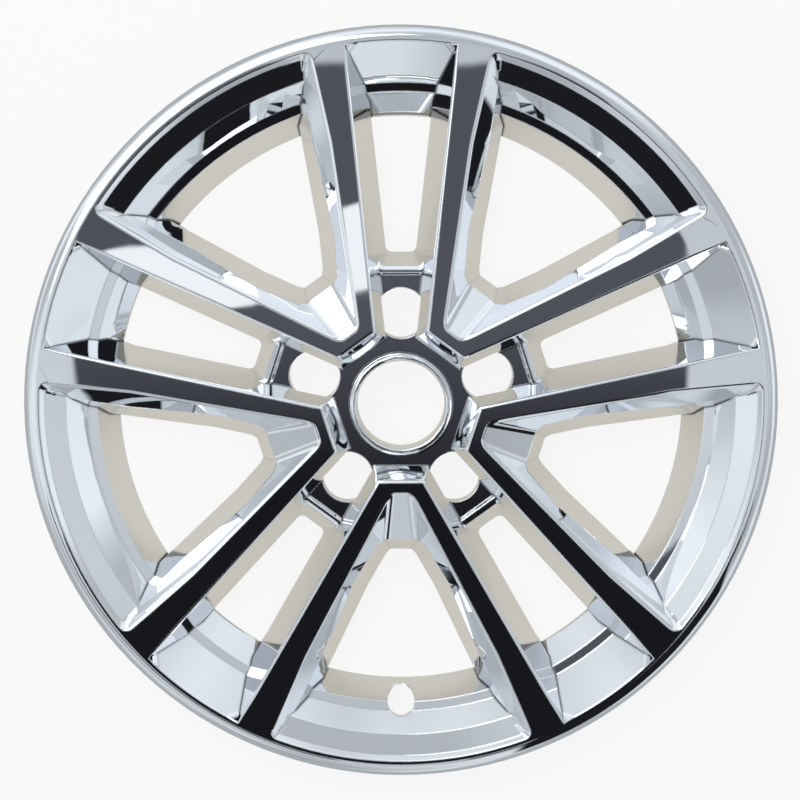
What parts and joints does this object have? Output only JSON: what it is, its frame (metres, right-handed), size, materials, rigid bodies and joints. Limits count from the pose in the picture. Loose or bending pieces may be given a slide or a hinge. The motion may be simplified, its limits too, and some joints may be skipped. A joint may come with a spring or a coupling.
{
  "type": "wheel cover",
  "caption": "Round chrome-plated wheel cover with V-shaped twin spokes, open windows, wheel-nut holes, an open centre and a hollow back that snaps over an alloy wheel.",
  "frame": {"origin": "on the wheel's axis, at the level of the cover's lowest back edge, where it rests face up", "axes": "+Z along the wheel's axis out of the front face; +Y away from the valve hole"},
  "size_m": [0.445, 0.445, 0.039],
  "materials": {
    "chrome": "bright chrome plating on moulded plastic"
  },
  "bodies": {
    "root": {"wheel_cover": "chrome"}
  },
  "joints": []
}
